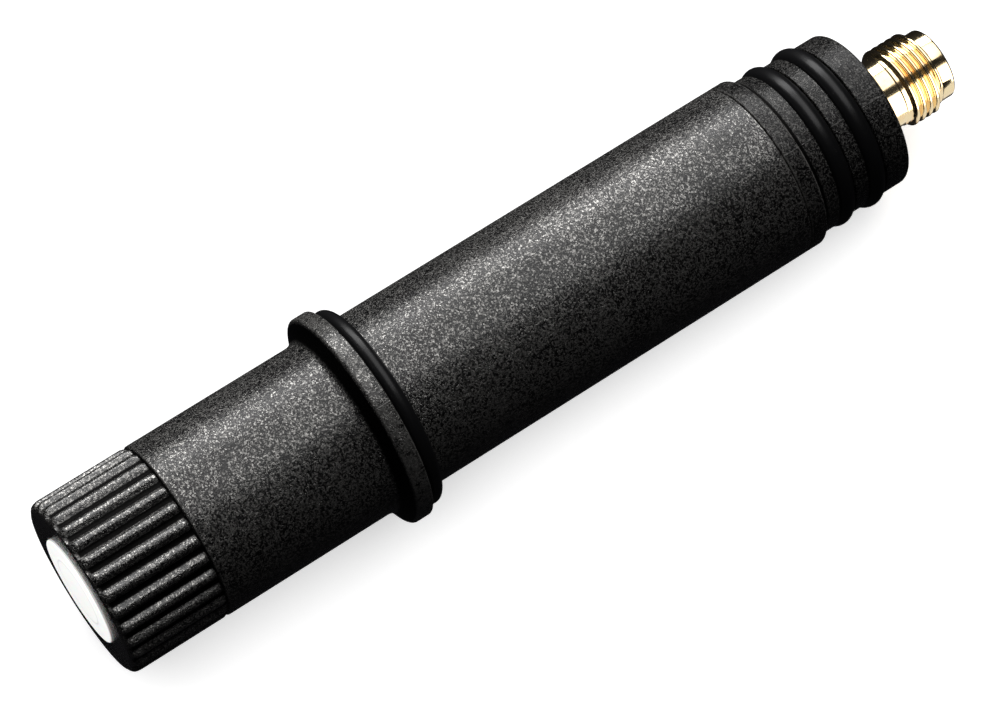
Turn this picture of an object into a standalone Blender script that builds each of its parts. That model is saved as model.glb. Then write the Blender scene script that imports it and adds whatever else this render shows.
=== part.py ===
"""Screw-cap dissolved oxygen probe, modelled as the pieces it is assembled from.

The axis runs along X, from the membrane in the nose (-X) to the threaded coaxial jack (+X).
The origin is on the axis, in the plane of the flange's rear face, which seats on a meter's socket.
Metres in the scene, +Z up. Stations and radii in this file are written in millimetres.
"""
import math

import bmesh
import bpy
from mathutils import Vector

# ---------------------------------------------------------------- driving dimensions, in millimetres
MM = 0.001                   # one millimetre in scene units
CLOSE = 0.1                  # free space between neighbours that touch on the real probe

NOSE_X = -29.5               # front face of the cap
SHOULDER_X = -19.75          # front shoulder of the barrel, which the cap screws up to
NECK_X = -26.6               # front end of the barrel's threaded neck
BODY_R = 8.5                 # barrel and cap
BORE_R = 6.6                 # inside the barrel
NECK_BORE_R = 4.5            # inside the neck
FLANGE_R = 10.37
FLANGE_RIM = 1.5             # width of the flange's rim
FLANGE_CONE = 0.9            # length of the slope up to the rim
FLANGE_GLAND_R = 9.9         # shallow gland for the O-ring in the flange's rear face
FLANGE_GLAND_DEPTH = 0.1
FLANGE_RING_X = 0.92         # middle of that O-ring
FLANGE_RING_R = 9.82         # its outside
FLANGE_RING_SECTION_R = 0.7
SEAT_R = BODY_R - 0.4        # groove round the barrel that the O-ring sits in
BARREL_END_X = 42.1          # rear end of the barrel
COLLAR_END_X = 43.95         # rear end of the plug's full-size collar
REAR_X = 53.8                # rear face of the plug
LAND_R = 7.7                 # rear section of the plug, between its O-rings

CAP_LIP = 1.3                # thickness of the cap's front wall
WINDOW_R = 5.25              # opening in the cap's front wall
MEMBRANE_PROUD = 0.25        # how far the membrane stands out of the window
CAP_BORE_R = 5.85            # crests of the cap's inside thread
CAP_COUNTERBORE_R = 7.35     # room for the cap's seal
CAP_COUNTERBORE_X = -20.9
NOSE_ROUND = 0.8             # rounding of the cap's front edge
RIB_COUNT = 30
RIB_DEPTH = 0.38
GROOVE_R = 0.46              # radius of the round grooves between the ribs

CAP_PITCH = 1.5              # the cap's screw thread
CAP_TURNS = 2.3              # turns of thread on the neck
NECK_R = 5.65                # root of the neck's thread
NECK_CREST_R = 6.15
THREAD_START_X = -25.9       # middle of the first turn
THREAD_CLEARANCE = 0.16

JACK_R = 3.46                # shank and tip of the jack
JACK_THREAD_R = 4.0          # M8 x 0.75 outside thread
JACK_ROOT_R = 3.56
JACK_PITCH = 0.75
JACK_TURNS = 4.75
JACK_THREAD_X = 57.1         # middle of the first turn
JACK_TIP_X = 62.2
JACK_SOCKET_R = 2.7          # inside the jack's mouth
JACK_SOCKET_X = 57.5         # bottom of the open socket
JACK_BORE_R = 2.2            # bore for the insulator
JACK_FLANGE_R = 4.8          # inside flange
JACK_FLANGE_THICK = 2.0

BOARD_LENGTH = 34.0
BOARD_WIDTH = 11.0
BOARD_THICK = 1.0
BOARD_X = 14.0               # middle of the board
WIRE_R = 0.3

ROUND_STEPS = 36             # facets round a large turned piece
SMALL_STEPS = 24             # facets round a small one
CAP_HELIX_STEPS = 24         # points in one turn of the cap's thread
JACK_HELIX_STEPS = 16        # points in one turn of the jack's thread


# ------------------------------------------------------------------------------ scene and materials
for old in list(bpy.data.objects):
    bpy.data.objects.remove(old, do_unlink=True)

PARTS = bpy.data.collections.new("oxygen_probe")
CUTTERS = bpy.data.collections.new("cutters")
bpy.context.scene.collection.children.link(PARTS)
bpy.context.scene.collection.children.link(CUTTERS)


def material(name, colour, roughness, metallic=0.0):
    """Return a Principled material with one colour."""
    made = bpy.data.materials.new(name)
    made.use_nodes = True
    shader = made.node_tree.nodes["Principled BSDF"]
    shader.inputs["Base Color"].default_value = (*colour, 1.0)
    shader.inputs["Roughness"].default_value = roughness
    shader.inputs["Metallic"].default_value = metallic
    return made


BLACK_PLASTIC = material("black_plastic", (0.022, 0.022, 0.024), 0.55)
CAP_PLASTIC = material("cap_plastic", (0.026, 0.026, 0.028), 0.45)
WHITE_FILM = material("white_film", (0.86, 0.86, 0.84), 0.5)
CLAMP_PLASTIC = material("clamp_plastic", (0.6, 0.6, 0.57), 0.5)
SEAL_RUBBER = material("seal_rubber", (0.012, 0.012, 0.012), 0.3)
STEM_RESIN = material("stem_resin", (0.45, 0.4, 0.3), 0.35)
GOLD = material("gold", (0.93, 0.66, 0.25), 0.2, 1.0)
SILVER = material("silver", (0.82, 0.81, 0.78), 0.35, 1.0)
STEEL = material("spring_steel", (0.55, 0.55, 0.56), 0.35, 1.0)
PTFE = material("ptfe", (0.88, 0.88, 0.86), 0.45)
BOARD_GREEN = material("board_green", (0.03, 0.16, 0.07), 0.4)
CHIP_BLACK = material("chip_black", (0.03, 0.03, 0.032), 0.6)
CAPACITOR_TAN = material("capacitor_tan", (0.62, 0.42, 0.14), 0.45)
GLASS_BEAD = material("glass_bead", (0.35, 0.2, 0.08), 0.2)
POTTING = material("potting_resin", (0.06, 0.05, 0.045), 0.3)
WIRE_RED = material("wire_red", (0.45, 0.03, 0.02), 0.5)
WIRE_BLACK = material("wire_black", (0.03, 0.03, 0.03), 0.5)
WIRE_WHITE = material("wire_white", (0.75, 0.74, 0.7), 0.5)
WIRE_YELLOW = material("wire_yellow", (0.7, 0.5, 0.04), 0.5)


# ------------------------------------------------------------------------------------- modelling tools
def put(name, data, finish=None):
    """Link new object data, as a part with a finish or as a hidden cutter without one."""
    made = bpy.data.objects.new(name, data)
    if finish is None:
        CUTTERS.objects.link(made)
        made.hide_render = True
        made.display_type = "WIRE"
    else:
        PARTS.objects.link(made)
        data.materials.clear()
        data.materials.append(finish)
    return made


def adopt(made, name, finish):
    """Name a primitive that an operator made, and move it to the parts with a finish."""
    for holder in list(made.users_collection):
        holder.objects.unlink(made)
    PARTS.objects.link(made)
    made.name = name
    made.data.name = name
    made.data.materials.clear()
    made.data.materials.append(finish)
    made.data.shade_smooth()
    return made


def settle(made):
    """Turn an object's modifiers into plain mesh, shaded smooth but for its sharp edges."""
    bpy.context.view_layer.update()
    shape = made.evaluated_get(bpy.context.evaluated_depsgraph_get())
    mesh = bpy.data.meshes.new_from_object(shape)
    mesh.name = made.name
    made.modifiers.clear()
    made.data = mesh
    mesh.shade_smooth()
    mesh.set_sharp_from_angle(angle=math.radians(40))
    return made


def turned(name, outline, finish=None, ring=False, steps=ROUND_STEPS):
    """Turn an outline about the X axis.

    The outline's (x, radius) points go from the nose to the rear along the outside, and for a
    ring then back along the inside. Local Z becomes world X.
    """
    points = [Vector((radius, 0, x)) * MM for x, radius in reversed(outline)]
    edges = [(i, i + 1) for i in range(len(points) - 1)]
    if ring:
        edges.append((len(points) - 1, 0))
    mesh = bpy.data.meshes.new(name)
    mesh.from_pydata(points, edges, [])
    made = put(name, mesh, finish)
    made.rotation_euler = (0, math.pi / 2, 0)
    screw = made.modifiers.new("turn", "SCREW")
    screw.steps = steps
    screw.render_steps = steps
    screw.use_merge_vertices = True
    screw.merge_threshold = 0.00001
    return settle(made)


def arc(x, radius, size, start, end, count=4):
    """Points of a round corner: centre (x, radius), angles in degrees from +X towards the outside."""
    angles = [math.radians(start + (end - start) * i / count) for i in range(count + 1)]
    return [(x + size * math.cos(a), radius + size * math.sin(a)) for a in angles]


def o_ring(name, x, outer_r, section_r, finish, steps=ROUND_STEPS):
    """An O-ring round the X axis, from Blender's torus."""
    bpy.ops.mesh.primitive_torus_add(major_segments=steps, minor_segments=8,
                                     major_radius=(outer_r - section_r) * MM,
                                     minor_radius=section_r * MM)
    made = adopt(bpy.context.object, name, finish)
    made.location = (x * MM, 0, 0)
    made.rotation_euler = (0, math.pi / 2, 0)
    return made


def block(name, centre, size, finish, bevel=0.0):
    """A box with its middle at centre, its edges bevelled by a width."""
    mesh = bpy.data.meshes.new(name)
    made = put(name, mesh, finish)
    shape = bmesh.new()
    bmesh.ops.create_cube(shape, size=1.0)
    bmesh.ops.scale(shape, vec=Vector(size) * MM, verts=shape.verts)
    shape.to_mesh(mesh)
    shape.free()
    made.location = Vector(centre) * MM
    if bevel:
        edge = made.modifiers.new("edges", "BEVEL")
        edge.width = bevel * MM
        edge.segments = 1
    return made


def rod(name, start, end, radius, finish=None, sides=12):
    """A straight round bar between two points on a line along X."""
    mesh = bpy.data.meshes.new(name)
    made = put(name, mesh, finish)
    shape = bmesh.new()
    bmesh.ops.create_cone(shape, cap_ends=True, segments=sides, radius1=radius * MM,
                          radius2=radius * MM, depth=(end[0] - start[0]) * MM)
    shape.to_mesh(mesh)
    shape.free()
    made.location = (Vector(start) + Vector(end)) * MM / 2
    made.rotation_euler = (0, math.pi / 2, 0)
    return made


def boolean(target, other, operation):
    """Cut another object from the target, or join it on, and keep the result as plain mesh."""
    change = target.modifiers.new(other.name, "BOOLEAN")
    change.operation = operation
    change.solver = "EXACT"
    change.object = other
    settle(target)
    return target


def wire(name, start, bend, end, finish, radius=WIRE_R, points=10):
    """A round wire along X from start to end, which changes course between the stations in bend."""
    first = Vector((bend[0], start[1], start[2]))
    last = Vector((bend[1], end[1], end[2]))
    reach = Vector(((bend[1] - bend[0]) / 2, 0, 0))
    route = [Vector(start)]
    for i in range(points):
        t = i / (points - 1)
        s = 1 - t
        route.append(first * s**3 + (first + reach) * (3 * s * s * t)
                     + (last - reach) * (3 * s * t * t) + last * t**3)
    route.append(Vector(end))
    curve = bpy.data.curves.new(name, "CURVE")
    curve.dimensions = "3D"
    curve.bevel_depth = radius * MM
    curve.bevel_resolution = 2
    curve.use_fill_caps = True
    spline = curve.splines.new("POLY")
    spline.points.add(len(route) - 1)
    for point, place in zip(spline.points, route):
        point.co = (*(place * MM), 1.0)
    return put(name, curve, finish)


def helix(name, x, root_r, crest_r, root_width, crest_width, pitch, turns, steps):
    """A right-hand thread's ridge as a closed solid: a trapezoid carried along a helix about X."""
    section = bpy.data.curves.new(name + "_section", "CURVE")
    section.dimensions = "2D"
    outline = section.splines.new("POLY")
    middle = (root_r + crest_r) / 2
    half = (crest_r - root_r) / 2
    corners = ((-half, -root_width / 2), (half, -crest_width / 2),
               (half, crest_width / 2), (-half, root_width / 2))
    outline.points.add(3)
    for point, (across, along) in zip(outline.points, corners):
        point.co = (across * MM, along * MM, 0.0, 1.0)
    outline.use_cyclic_u = True
    section_object = put(name + "_section", section)

    path = bpy.data.curves.new(name, "CURVE")
    path.dimensions = "3D"
    path.twist_mode = "Z_UP"
    path.bevel_mode = "OBJECT"
    path.bevel_object = section_object
    path.use_fill_caps = True
    count = round(turns * steps) + 1
    spline = path.splines.new("POLY")
    spline.points.add(count - 1)
    for i, point in enumerate(spline.points):
        angle = math.tau * i / steps
        along = x + pitch * i / steps
        point.co = (middle * math.cos(angle) * MM, middle * math.sin(angle) * MM, along * MM, 1.0)
    made = put(name, path)
    made.rotation_euler = (0, math.pi / 2, 0)
    bpy.context.view_layer.update()

    evaluated = made.evaluated_get(bpy.context.evaluated_depsgraph_get())
    shape = bpy.data.meshes.new_from_object(evaluated)
    welded = bmesh.new()
    welded.from_mesh(shape)
    bmesh.ops.remove_doubles(welded, verts=welded.verts, dist=0.000001)
    bmesh.ops.recalc_face_normals(welded, faces=welded.faces)
    welded.to_mesh(shape)
    welded.free()
    solid = put(name + "_solid", shape)
    solid.matrix_world = made.matrix_world.copy()
    for helper in (made, section_object):
        bpy.data.objects.remove(helper)
    return solid


# ---------------------------------------------------------------------------------- barrel and its seal
def barrel():
    """Moulded housing: threaded neck, front barrel, flange with a sloped front, long rear barrel."""
    rim_x = -FLANGE_RIM
    cone_x = rim_x - FLANGE_CONE
    seat_end_x = FLANGE_RING_X + FLANGE_RING_SECTION_R + CLOSE
    wall = BODY_R - BORE_R
    body = turned("barrel", [
        (NECK_X, NECK_R - 0.3),
        (NECK_X + 0.3, NECK_R),
        (SHOULDER_X, NECK_R),
        (SHOULDER_X, BODY_R - 0.12),
        (SHOULDER_X + 0.12, BODY_R),
        (cone_x - 0.25, BODY_R),
        (cone_x, BODY_R + 0.12),
        (rim_x - 0.1, FLANGE_R - 0.25),
        (rim_x + 0.15, FLANGE_R),
        (-0.15, FLANGE_R),
        (0.0, FLANGE_R - 0.15),
        (0.0, FLANGE_GLAND_R),
        (-FLANGE_GLAND_DEPTH, FLANGE_GLAND_R),
        (-FLANGE_GLAND_DEPTH, SEAT_R),
        (seat_end_x, SEAT_R),
        (seat_end_x, BODY_R),
        (BARREL_END_X - 0.1, BODY_R),
        (BARREL_END_X, BODY_R - 0.1),
        (BARREL_END_X, BORE_R),
        (SHOULDER_X + wall, BORE_R),
        (SHOULDER_X + wall, NECK_BORE_R),
        (NECK_X, NECK_BORE_R),
    ], BLACK_PLASTIC, ring=True)
    thread = helix("neck_thread", THREAD_START_X, NECK_R - 0.2, NECK_CREST_R,
                   1.0, 0.35, CAP_PITCH, CAP_TURNS, CAP_HELIX_STEPS)
    return boolean(body, thread, "UNION")


barrel()
o_ring("flange_o_ring", FLANGE_RING_X, FLANGE_RING_R, FLANGE_RING_SECTION_R, SEAL_RUBBER)


# ------------------------------------------------------------ cap, which unscrews with the membrane in it
cap_axis = bpy.data.objects.new("cap_axis", None)
PARTS.objects.link(cap_axis)
cap_axis.location = (SHOULDER_X * MM, 0, 0)


def hang_on_cap(piece):
    """Parent a piece to the cap's axis and leave it where it is."""
    bpy.context.view_layer.update()
    place = piece.matrix_world.copy()
    piece.parent = cap_axis
    piece.matrix_parent_inverse = cap_axis.matrix_world.inverted()
    piece.matrix_world = place
    return piece


def membrane_cap():
    """Ribbed cap: a window in its nose, an inside thread and room for the seal at its mouth."""
    end_x = SHOULDER_X - CLOSE
    lip_x = NOSE_X + CAP_LIP
    nose = arc(NOSE_X + NOSE_ROUND, BODY_R - NOSE_ROUND, NOSE_ROUND, 180, 90, count=3)
    cap = turned("membrane_cap", [
        (NOSE_X, WINDOW_R),
        *nose,
        (end_x - 0.3, BODY_R),
        (end_x, BODY_R - 0.25),
        (end_x, CAP_COUNTERBORE_R),
        (CAP_COUNTERBORE_X, CAP_COUNTERBORE_R),
        (CAP_COUNTERBORE_X, CAP_BORE_R),
        (lip_x, CAP_BORE_R),
        (lip_x, WINDOW_R),
    ], CAP_PLASTIC, ring=True, steps=2 * RIB_COUNT)
    clear = THREAD_CLEARANCE
    start_x = THREAD_START_X - CAP_PITCH
    turns = (CAP_COUNTERBORE_X + CAP_PITCH / 2 - start_x) / CAP_PITCH
    groove = helix("cap_thread", start_x, CAP_BORE_R - 0.25, NECK_CREST_R + clear,
                   0.84 + 2 * clear, 0.35 + 2 * clear, CAP_PITCH, turns, CAP_HELIX_STEPS)
    boolean(cap, groove, "DIFFERENCE")

    flutes = bpy.data.meshes.new("rib_grooves")
    shape = bmesh.new()
    for i in range(RIB_COUNT):
        one = rod("rib_groove", (NOSE_X - 0.7, 0, 0), (end_x + 0.7, 0, 0), GROOVE_R, sides=6)
        angle = math.tau * (i + 0.5) / RIB_COUNT
        out = BODY_R - RIB_DEPTH + GROOVE_R
        one.location.y = out * math.sin(angle) * MM
        one.location.z = out * math.cos(angle) * MM
        bpy.context.view_layer.update()
        one.data.transform(one.matrix_world)
        shape.from_mesh(one.data)
        bpy.data.objects.remove(one)
    shape.to_mesh(flutes)
    shape.free()
    return boolean(cap, put("rib_grooves", flutes), "DIFFERENCE")


LIP_BACK_X = NOSE_X + CAP_LIP
FILM_X = NOSE_X - MEMBRANE_PROUD
FILM_THICK = 0.4

hang_on_cap(membrane_cap())
hang_on_cap(turned("membrane", [
    (FILM_X, 0.0),
    (FILM_X, WINDOW_R - 0.25),
    (FILM_X + 0.15, WINDOW_R - CLOSE),
    (LIP_BACK_X + CLOSE, WINDOW_R - CLOSE),
    (LIP_BACK_X + CLOSE, CAP_BORE_R - CLOSE),
    (LIP_BACK_X + 0.35, CAP_BORE_R - CLOSE),
    (LIP_BACK_X + 0.35, WINDOW_R - 0.45),
    (FILM_X + FILM_THICK, WINDOW_R - 0.45),
    (FILM_X + FILM_THICK, 0.0),
], WHITE_FILM, steps=SMALL_STEPS))
hang_on_cap(turned("membrane_ring", [
    (LIP_BACK_X + 0.45, 4.75),
    (LIP_BACK_X + 0.45, CAP_BORE_R - CLOSE),
    (LIP_BACK_X + 1.2, CAP_BORE_R - CLOSE),
    (LIP_BACK_X + 1.2, 4.75),
], CLAMP_PLASTIC, ring=True, steps=SMALL_STEPS))
hang_on_cap(o_ring("cap_o_ring", SHOULDER_X - 0.6, CAP_COUNTERBORE_R - 0.15, 0.45, SEAL_RUBBER))


# ---------------------------------------------------------------------- electrodes inside barrel and cap
STEM_TIP_X = FILM_X + FILM_THICK + 0.3
STEM_TIP_R = 3.2
STEM_SHOULDER_X = -26.9
STEM_R = NECK_BORE_R - CLOSE
STEM_GLAND_X = (-24.6, -23.2)
STEM_GLAND_R = STEM_R - 0.95
STEM_FLANGE_X = SHOULDER_X + BODY_R - BORE_R + CLOSE
STEM_FLANGE_THICK = 1.6
STEM_TAIL_R = 5.0
STEM_END_X = -14.0
CATHODE_R = 1.8
CATHODE_THICK = 0.42
ANODE_OUTER_R = 4.1
CORE_HOLE_R = 0.6            # hole for the cathode's lead
LEAD_CLEARANCE = 0.25        # free space round a lead in its hole
ANODE_LEAD_Z = 2.6           # the anode's lead runs this far above the axis, under the stem's seal
SENSOR_Z = -3.6              # the temperature sensor lies below it


def electrode_stem():
    """Cast insulating stem: carries both electrodes and is seated from inside the barrel."""
    pocket = CATHODE_THICK + CLOSE
    stem = turned("electrode_stem", [
        (STEM_TIP_X + pocket, CATHODE_R + CLOSE),
        (STEM_TIP_X, CATHODE_R + CLOSE),
        (STEM_TIP_X, STEM_TIP_R - 0.2),
        (STEM_TIP_X + 0.2, STEM_TIP_R),
        (STEM_SHOULDER_X, STEM_TIP_R),
        (STEM_SHOULDER_X, STEM_R - 0.2),
        (STEM_SHOULDER_X + 0.2, STEM_R),
        (STEM_GLAND_X[0], STEM_R),
        (STEM_GLAND_X[0], STEM_GLAND_R),
        (STEM_GLAND_X[1], STEM_GLAND_R),
        (STEM_GLAND_X[1], STEM_R),
        (STEM_FLANGE_X, STEM_R),
        (STEM_FLANGE_X, BORE_R - CLOSE),
        (STEM_FLANGE_X + STEM_FLANGE_THICK, BORE_R - CLOSE),
        (STEM_FLANGE_X + STEM_FLANGE_THICK, STEM_TAIL_R),
        (STEM_END_X, STEM_TAIL_R),
        (STEM_END_X, CORE_HOLE_R),
        (STEM_TIP_X + pocket, CORE_HOLE_R),
    ], STEM_RESIN, ring=True, steps=SMALL_STEPS)
    anode_hole = rod("anode_hole", (STEM_SHOULDER_X - 1, 0, ANODE_LEAD_Z),
                     (STEM_END_X + 1, 0, ANODE_LEAD_Z), WIRE_R + LEAD_CLEARANCE)
    return boolean(stem, anode_hole, "DIFFERENCE")


electrode_stem()
turned("cathode_disc", [
    (STEM_TIP_X - 0.02, 0.0),
    (STEM_TIP_X - 0.02, CATHODE_R),
    (STEM_TIP_X - 0.02 + CATHODE_THICK, CATHODE_R),
    (STEM_TIP_X - 0.02 + CATHODE_THICK, 0.0),
], GOLD, steps=SMALL_STEPS)
turned("silver_anode", [
    (STEM_TIP_X + 0.35, STEM_TIP_R + CLOSE),
    (STEM_TIP_X + 0.35, ANODE_OUTER_R),
    (STEM_SHOULDER_X - CLOSE, ANODE_OUTER_R),
    (STEM_SHOULDER_X - CLOSE, STEM_TIP_R + CLOSE),
], SILVER, ring=True, steps=SMALL_STEPS)
o_ring("stem_o_ring", sum(STEM_GLAND_X) / 2, STEM_R + 0.02, 0.45, SEAL_RUBBER, steps=SMALL_STEPS)

POTTING_START_X = STEM_END_X + CLOSE
POTTING_END_X = -7.0
SENSOR_HOLE_R = 1.8


def potting_plug():
    """Cast resin behind the stem, with a hole for each lead and one for the sensor bead."""
    plug = turned("potting_plug", [
        (POTTING_START_X, 0.0),
        (POTTING_START_X, BORE_R - CLOSE),
        (POTTING_END_X, BORE_R - CLOSE),
        (POTTING_END_X, 0.0),
    ], POTTING, steps=SMALL_STEPS)
    ends = (POTTING_START_X - 1, POTTING_END_X + 1)
    holes = {
        "cathode_lead_hole": (0, 0, WIRE_R + LEAD_CLEARANCE),
        "anode_lead_hole": (0, ANODE_LEAD_Z, WIRE_R + LEAD_CLEARANCE),
        "sensor_hole": (0, SENSOR_Z, SENSOR_HOLE_R),
    }
    for name, (y, z, radius) in holes.items():
        boolean(plug, rod(name, (ends[0], y, z), (ends[1], y, z), radius), "DIFFERENCE")
    return plug


potting_plug()


# ------------------------------------------------------------------------ circuit board inside the barrel
BOARD_START_X = BOARD_X - BOARD_LENGTH / 2
BOARD_END_X = BOARD_X + BOARD_LENGTH / 2
BOARD_TOP = BOARD_THICK / 2
WIRE_HEIGHT = BOARD_TOP + WIRE_R + CLOSE

block("circuit_board", (BOARD_X, 0, 0), (BOARD_LENGTH, BOARD_WIDTH, BOARD_THICK), BOARD_GREEN)
for name, x, y, size, finish in (
    ("amplifier_chip", 8.0, 0.0, (5.0, 4.0, 1.5), CHIP_BLACK),
    ("memory_chip", 17.0, -1.6, (4.0, 3.2, 1.2), CHIP_BLACK),
    ("filter_capacitor", 23.5, 2.0, (3.4, 2.0, 1.7), CAPACITOR_TAN),
    ("bias_resistor", 13.0, 3.2, (2.0, 1.2, 0.6), CHIP_BLACK),
    ("load_resistor", 23.5, -2.6, (2.0, 1.2, 0.6), CHIP_BLACK),
):
    block(name, (x, y, BOARD_TOP + CLOSE + size[2] / 2), size, finish, bevel=0.1)

BEAD_X = -12.6
BEAD_R = 1.0
BEAD_STRETCH = 1.2           # the bead is longer along X than it is across
SENSOR_LEAD_R = 0.25
SENSOR_LEAD_APART = 0.6      # each lead's distance from the bead's middle
SENSOR_PAD_Y = 2.6           # the same at the board
LEAD_BEND = (POTTING_END_X + 0.5, BOARD_START_X - 0.5)


def temperature_sensor():
    """Glass bead at the front of the potting, with its two leads going back to the board."""
    bpy.ops.mesh.primitive_uv_sphere_add(segments=16, ring_count=8, radius=BEAD_R * MM)
    bead = adopt(bpy.context.object, "temperature_bead", GLASS_BEAD)
    bead.location = Vector((BEAD_X, 0, SENSOR_Z)) * MM
    bead.scale = (BEAD_STRETCH, 1.0, 1.0)
    start_x = BEAD_X + BEAD_R * BEAD_STRETCH + CLOSE
    for name, side in (("sensor_lead_left", 1), ("sensor_lead_right", -1)):
        wire(name, (start_x, side * SENSOR_LEAD_APART, SENSOR_Z), LEAD_BEND,
             (BOARD_START_X + 3, side * SENSOR_PAD_Y, -WIRE_HEIGHT), WIRE_YELLOW, SENSOR_LEAD_R)


temperature_sensor()
wire("cathode_lead", (STEM_TIP_X + 0.7, 0, 0), LEAD_BEND, (BOARD_START_X + 3, 0, WIRE_HEIGHT),
     WIRE_RED)
wire("anode_lead", (STEM_SHOULDER_X - 0.6, 0, ANODE_LEAD_Z), LEAD_BEND,
     (BOARD_START_X + 3, -2.8, WIRE_HEIGHT), WIRE_BLACK)


# ------------------------------------------------------------------------ rear plug with its two O-rings
PLUG_FRONT_X = 36.0
PLUG_BORE_R = 5.0
PLUG_WALL_X = 50.0           # inside face of the plug's rear wall
RING_OUTER_R = 8.18
RING_SECTION_R = 0.89
RING_FLOOR_R = RING_OUTER_R - 2 * RING_SECTION_R - CLOSE
RING_GROOVE = 1.96
RING_X = (46.72, 50.12)


def rear_plug():
    """Plug in the barrel's end: a full-size collar, then two O-ring glands and a rear wall."""
    outline = [
        (PLUG_FRONT_X, BORE_R - CLOSE - 0.3),
        (PLUG_FRONT_X + 0.3, BORE_R - CLOSE),
        (BARREL_END_X + CLOSE, BORE_R - CLOSE),
        (BARREL_END_X + CLOSE, BODY_R - 0.1),
        (BARREL_END_X + CLOSE + 0.1, BODY_R),
        (COLLAR_END_X - 0.15, BODY_R),
        (COLLAR_END_X, BODY_R - 0.15),
        (COLLAR_END_X, LAND_R + 0.2),
    ]
    for x in RING_X:
        outline += [
            (x - RING_GROOVE / 2, LAND_R + 0.2 if x == RING_X[0] else LAND_R),
            (x - RING_GROOVE / 2, RING_FLOOR_R),
            (x + RING_GROOVE / 2, RING_FLOOR_R),
            (x + RING_GROOVE / 2, LAND_R),
        ]
    outline += arc(REAR_X - 0.35, LAND_R - 0.35, 0.35, 90, 0, count=3)
    outline += [
        (REAR_X, JACK_R + CLOSE),
        (PLUG_WALL_X, JACK_R + CLOSE),
        (PLUG_WALL_X, PLUG_BORE_R),
        (PLUG_FRONT_X, PLUG_BORE_R),
    ]
    return turned("rear_plug", outline, BLACK_PLASTIC, ring=True)


rear_plug()
for name, x in zip(("rear_o_ring_front", "rear_o_ring_back"), RING_X):
    o_ring(name, x, RING_OUTER_R, RING_SECTION_R, SEAL_RUBBER)


# --------------------------------------------------------- threaded jack, held by a ring behind its flange
JACK_FLANGE_X = PLUG_WALL_X - CLOSE
SHELL_START_X = JACK_FLANGE_X - JACK_FLANGE_THICK
INSULATOR_START_X = SHELL_START_X + 0.3
INSULATOR_SHOULDER_X = JACK_SOCKET_X + 0.1
INSULATOR_END_X = 60.6
INSULATOR_NOSE_R = 1.7
CONTACT_START_X = 45.9
CONTACT_END_X = 61.1
CONTACT_HOLE_X = 58.0
CONTACT_HOLE_R = 0.35
CONTACT_R = 0.55


def jack_shell():
    """Gold-plated shell: inside flange, plain shank, outside thread, plain tip and open socket."""
    thread_end_x = JACK_THREAD_X + JACK_TURNS * JACK_PITCH + 0.1
    shell = turned("jack_shell", [
        (SHELL_START_X, JACK_FLANGE_R),
        (JACK_FLANGE_X, JACK_FLANGE_R),
        (JACK_FLANGE_X, JACK_R),
        (JACK_TIP_X - 0.15, JACK_R),
        (JACK_TIP_X, JACK_R - 0.15),
        (JACK_TIP_X, JACK_SOCKET_R),
        (JACK_SOCKET_X, JACK_SOCKET_R),
        (JACK_SOCKET_X, JACK_BORE_R),
        (SHELL_START_X, JACK_BORE_R),
    ], GOLD, ring=True, steps=SMALL_STEPS)
    core = turned("jack_thread_core", [
        (JACK_THREAD_X - 0.5, JACK_R - 0.2),
        (JACK_THREAD_X - 0.5, JACK_R + 0.02),
        (JACK_THREAD_X - 0.3, JACK_ROOT_R),
        (thread_end_x, JACK_ROOT_R),
        (thread_end_x + 0.1, JACK_R + 0.02),
        (thread_end_x + 0.1, JACK_R - 0.2),
    ], ring=True, steps=SMALL_STEPS)
    boolean(shell, core, "UNION")
    thread = helix("jack_thread", JACK_THREAD_X, JACK_ROOT_R - 0.12, JACK_THREAD_R,
                   0.7, 0.12, JACK_PITCH, JACK_TURNS, JACK_HELIX_STEPS)
    return boolean(shell, thread, "UNION")


jack_shell()
turned("jack_insulator", [
    (INSULATOR_START_X, CONTACT_R + 2 * CLOSE),
    (INSULATOR_START_X, JACK_BORE_R - CLOSE),
    (INSULATOR_SHOULDER_X, JACK_BORE_R - CLOSE),
    (INSULATOR_SHOULDER_X, INSULATOR_NOSE_R),
    (INSULATOR_END_X, INSULATOR_NOSE_R),
    (INSULATOR_END_X, CONTACT_R + 2 * CLOSE),
], PTFE, ring=True, steps=SMALL_STEPS)
turned("centre_contact", [
    (CONTACT_START_X, 0.0),
    (CONTACT_START_X, CONTACT_R),
    (CONTACT_END_X - 0.1, CONTACT_R),
    (CONTACT_END_X, CONTACT_R - 0.1),
    (CONTACT_END_X, CONTACT_HOLE_R),
    (CONTACT_HOLE_X, CONTACT_HOLE_R),
    (CONTACT_HOLE_X, 0.0),
], GOLD, steps=16)


def flat_ring(name, start_x, end_x, inner_r, outer_r):
    """A flat steel ring round the axis."""
    return turned(name, [
        (start_x, inner_r),
        (start_x, outer_r),
        (end_x, outer_r),
        (end_x, inner_r),
    ], STEEL, ring=True, steps=SMALL_STEPS)


WASHER_END_X = SHELL_START_X - CLOSE
WASHER_START_X = WASHER_END_X - 0.5
RETAINER_END_X = WASHER_START_X - CLOSE
flat_ring("spring_washer", WASHER_START_X, WASHER_END_X, 3.3, 4.7)
flat_ring("retaining_ring", RETAINER_END_X - 1.2, RETAINER_END_X, 3.6, PLUG_BORE_R - CLOSE)

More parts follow.
